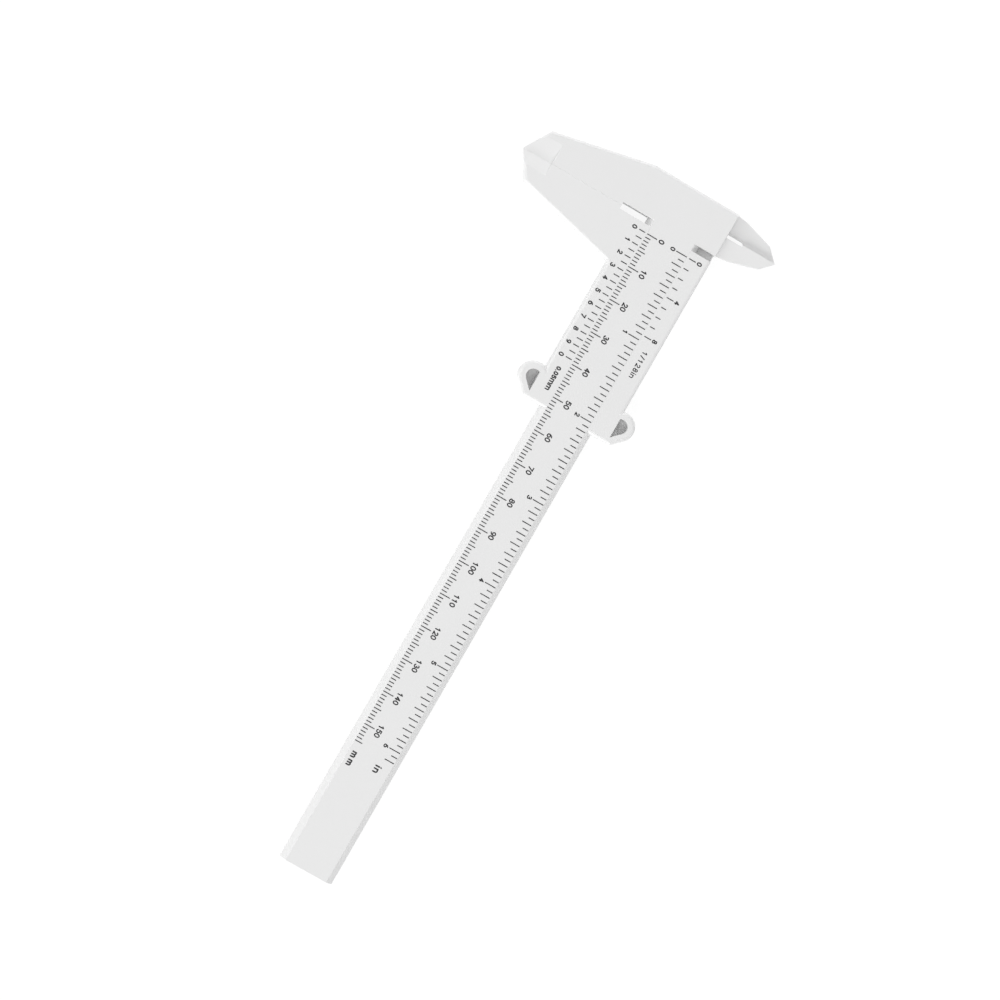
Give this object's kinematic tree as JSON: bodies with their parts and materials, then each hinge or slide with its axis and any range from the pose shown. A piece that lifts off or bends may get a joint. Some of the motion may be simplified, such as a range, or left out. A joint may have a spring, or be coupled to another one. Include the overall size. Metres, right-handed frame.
{
  "type": "vernier caliper",
  "caption": "Plastic vernier caliper: a graduated dovetail beam with a fixed head, and a slider with outside jaw, crossed inside blade and thumb ears.",
  "frame": {"origin": "middle of the footprint of the shut caliper, on the plane that it lies on when it rests on its back", "axes": "+X from the head along the beam to its tail end, +Y across the beam towards the inside blades, +Z out of the scale face"},
  "size_m": [0.2088, 0.074, 0.0042],
  "materials": {
    "white_plastic": "fine satin moulded surface",
    "black_ink": "thin matte printed ink"
  },
  "bodies": {
    "beam": {"beam": "white_plastic", "beam_metric_scale": "black_ink", "beam_inch_scale": "black_ink"},
    "slider": {"slider": "white_plastic", "vernier_metric_scale": "black_ink", "vernier_inch_scale": "black_ink"}
  },
  "joints": [
    {"name": "slider_travel", "type": "slide", "parent": "beam", "child": "slider", "axis": [1, 0, 0], "range_m": [0, 0.15]}
  ]
}
